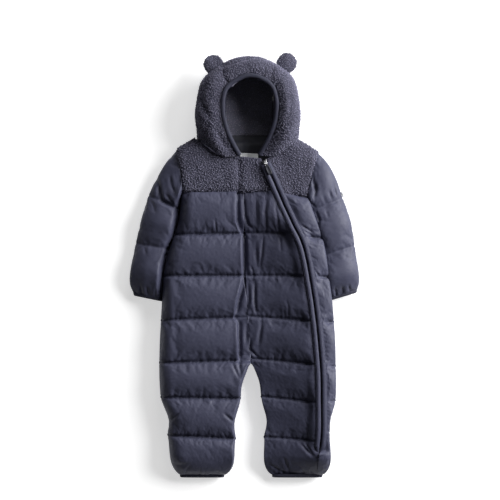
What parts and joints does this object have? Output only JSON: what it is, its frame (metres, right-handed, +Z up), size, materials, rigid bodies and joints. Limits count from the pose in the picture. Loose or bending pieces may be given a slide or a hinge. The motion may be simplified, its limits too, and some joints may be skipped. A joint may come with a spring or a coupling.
{
  "type": "hooded padded baby snowsuit, laid flat",
  "caption": "Padded baby snowsuit laid flat on its back: quilted body, sleeves and legs, fleece yoke and hood with round ears, and a curved zip with a hinged pull.",
  "frame": {"origin": "middle of the bounding box, on the surface that the garment lies on", "axes": "+Y from the leg hems to the hood, +X to the wearer's left side, +Z up from the surface, out of the garment's front"},
  "size_m": [0.4346, 0.8116, 0.0832],
  "materials": {
    "shell": "dark navy down-proof plain weave with a soft sheen, quilted over padding",
    "fleece": "grey-navy curly pile fleece",
    "lining_fleece": "curly pile fleece lining",
    "plain_facing": "plain matt woven lining",
    "binding": "folded elastic binding, fine ribs",
    "zip_tape": "woven zip tape",
    "zip_coil": "dyed nylon coil",
    "slider_metal": "bright nickel plate",
    "pull": "matt moulded pull tab",
    "label": "bare woven satin label"
  },
  "bodies": {
    "suit": {"front_right": "shell", "front_centre": "shell", "front_left": "shell", "back_right": "shell", "back_left": "shell", "sleeve_right": "shell", "sleeve_left": "shell", "welt_right": "shell", "welt_left": "shell", "yoke_front_right": "fleece", "yoke_front_left": "fleece", "yoke_back": "fleece", "hood_centre": "fleece", "hood_side_right": "fleece", "hood_side_left": "fleece", "ear_right": "fleece", "ear_left": "fleece", "lining_centre": "lining_fleece", "lining_right": "lining_fleece", "lining_left": "lining_fleece", "neck_facing": "plain_facing", "hood_binding": "binding", "cuff_binding_right": "binding", "cuff_binding_left": "binding", "hem_binding_right": "binding", "hem_binding_left": "binding", "zip_tape_right": "zip_tape", "zip_tape_left": "zip_tape", "zip_coil": "zip_coil", "zip_slider": "slider_metal", "neck_label": "label", "sleeve_tab": "label"},
    "pull": {"pull_link": "slider_metal", "pull_tab": "pull"}
  },
  "joints": [
    {"name": "pull_hinge", "type": "hinge", "parent": "suit", "child": "pull", "pos_m": [0.03959, 0.19377, 0.0534], "axis": [-0.9037, -0.4281, 0], "range_deg": [0, 115]}
  ]
}
